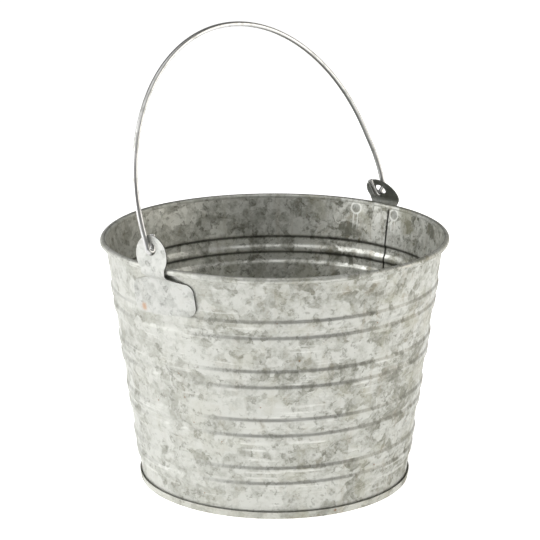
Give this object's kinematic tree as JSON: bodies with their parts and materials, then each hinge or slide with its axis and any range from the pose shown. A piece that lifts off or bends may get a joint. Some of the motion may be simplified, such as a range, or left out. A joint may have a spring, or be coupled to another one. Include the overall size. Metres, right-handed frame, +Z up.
{
  "type": "florist bucket",
  "caption": "Tapered galvanised sheet-steel pail with rolled ribs, a wired rim, a seamed bottom, two stamped ears and a swinging wire bail.",
  "frame": {"origin": "middle of the base, on the surface that the bucket stands on", "axes": "+Z up; +X from the near ear, whose tab is upright, to the far ear, whose tab is bent inwards; at rest the bail leans towards +Y"},
  "size_m": [0.2881, 0.2798, 0.3671],
  "materials": {
    "galvanised_wall": "hot-dip galvanised sheet: matte grey zinc with an irregular spangle and a few rust freckles",
    "galvanised_bottom": "hot-dip galvanised sheet, a little darker and more olive than the wall",
    "galvanised_ear": "hot-dip galvanised stamping, smoother and brighter than the wall",
    "bright_wire": "semi-gloss galvanised round wire"
  },
  "bodies": {
    "bucket": {"wall": "galvanised_wall", "rim_wire": "bright_wire", "bottom": "galvanised_bottom", "near_ear": "galvanised_ear", "far_ear": "galvanised_ear"},
    "bail": {"bail": "bright_wire"}
  },
  "joints": [
    {"name": "bail_swing", "type": "hinge", "parent": "bucket", "child": "bail", "pos_m": [0, 0, 0.2137], "axis": [1, 0, 0], "range_deg": [-76.3, 113.6]}
  ]
}
